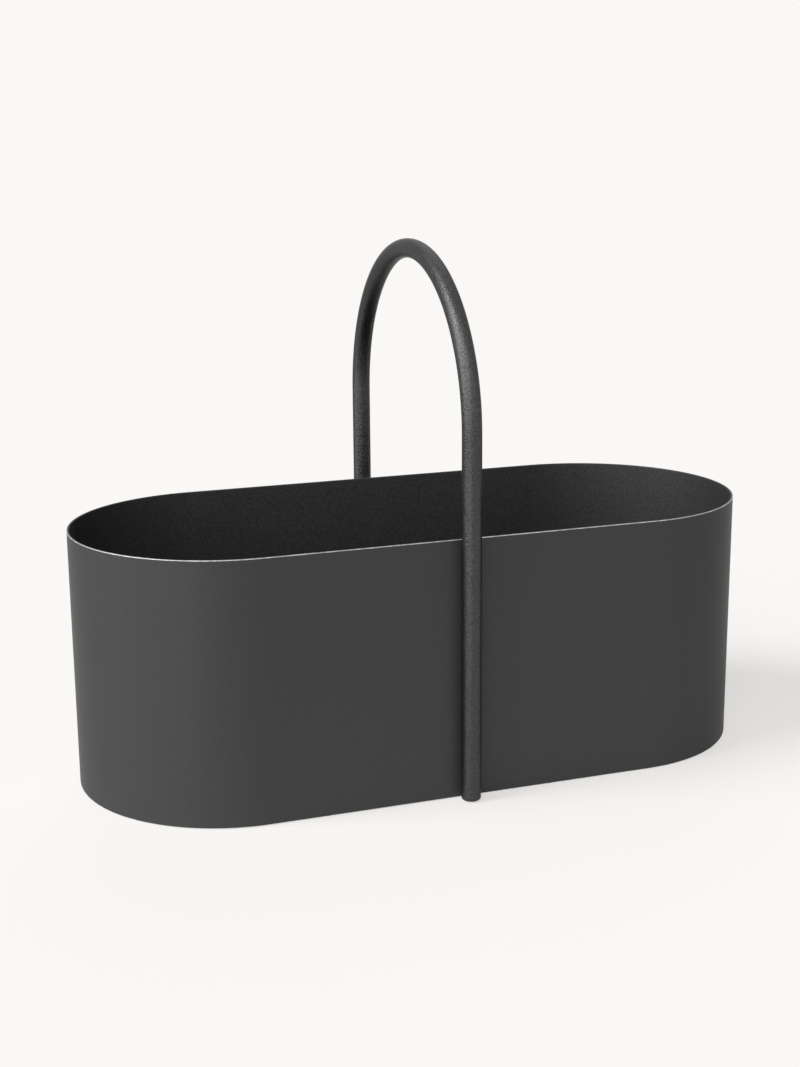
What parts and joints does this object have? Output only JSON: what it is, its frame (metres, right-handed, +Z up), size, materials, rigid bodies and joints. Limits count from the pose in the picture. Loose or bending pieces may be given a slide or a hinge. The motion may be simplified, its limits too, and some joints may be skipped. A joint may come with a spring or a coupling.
{
  "type": "storage box",
  "caption": "Open oval sheet-steel storage box with a round-bar carrying handle that arches over the middle and runs down both flat sides.",
  "frame": {"origin": "on the table under the middle of the box, in the plane of the four pads", "axes": "+X along the box, +Y across it towards the rear leg of the handle, +Z up"},
  "size_m": [0.35, 0.1712, 0.2645],
  "materials": {
    "wall_coat": "black powder coat, satin, fine grain",
    "handle_coat": "black powder coat, satin, slightly coarser grain",
    "screw_steel": "blackened steel",
    "washer_steel": "blackened steel",
    "pad_rubber": "matt black rubber"
  },
  "bodies": {
    "root": {"wall_band": "wall_coat", "base_pan": "wall_coat", "handle_bar": "handle_coat", "handle_screw_front_lower": "screw_steel", "handle_screw_front_upper": "screw_steel", "handle_screw_rear_lower": "screw_steel", "handle_screw_rear_upper": "screw_steel", "screw_washer_front_lower": "washer_steel", "screw_washer_front_upper": "washer_steel", "screw_washer_rear_lower": "washer_steel", "screw_washer_rear_upper": "washer_steel", "foot_pad_front_left": "pad_rubber", "foot_pad_front_right": "pad_rubber", "foot_pad_rear_left": "pad_rubber", "foot_pad_rear_right": "pad_rubber"}
  },
  "joints": []
}
